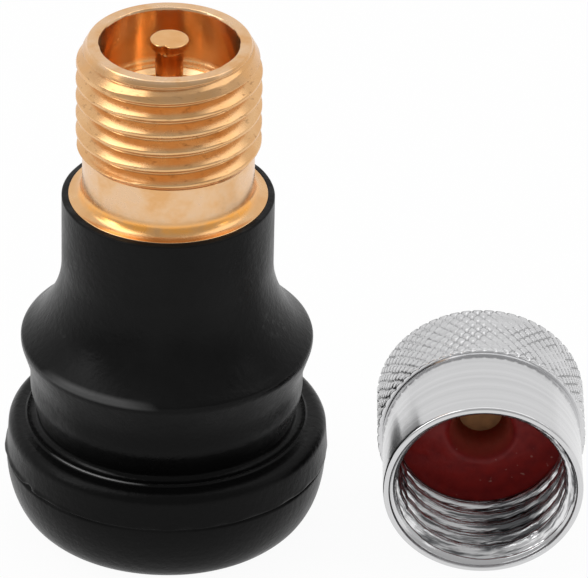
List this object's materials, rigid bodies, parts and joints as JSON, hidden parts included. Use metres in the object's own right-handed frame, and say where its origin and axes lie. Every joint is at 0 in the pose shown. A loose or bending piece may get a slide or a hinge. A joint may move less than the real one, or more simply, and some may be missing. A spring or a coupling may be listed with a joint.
{
  "type": "tyre valve",
  "caption": "Short snap-in rubber tyre valve with a threaded brass stem, a spring-loaded valve core and a knurled metal cap lying beside it.",
  "frame": {"origin": "on the valve's axis, at the flat foot of the rubber head that it stands on", "axes": "+Z along the valve's axis from the head out of the mouth; the cap lies at +X with its mouth towards -Y"},
  "size_m": [0.0245, 0.0136, 0.0227],
  "materials": {
    "black_rubber": "satin moulded",
    "brass": "turned, bright",
    "core_brass": "turned",
    "spring_steel": "drawn wire",
    "plated_metal": "bright plated",
    "red_rubber": "satin"
  },
  "bodies": {
    "valve": {"rubber_body": "black_rubber", "brass_stem": "brass", "core_plug": "core_brass", "core_barrel": "core_brass", "barrel_packing": "red_rubber", "core_spring": "spring_steel", "cap_shell": "plated_metal", "cap_seal": "red_rubber"},
    "pin": {"core_pin": "brass", "spring_collar": "core_brass", "seat_cup": "core_brass", "seat_washer": "black_rubber"}
  },
  "joints": [
    {"name": "pin_press", "type": "slide", "parent": "valve", "child": "pin", "axis": [0, 0, -1], "range_m": [0, 0.0012], "stiffness_N_per_m": 500, "deforming": ["core_spring"]}
  ]
}
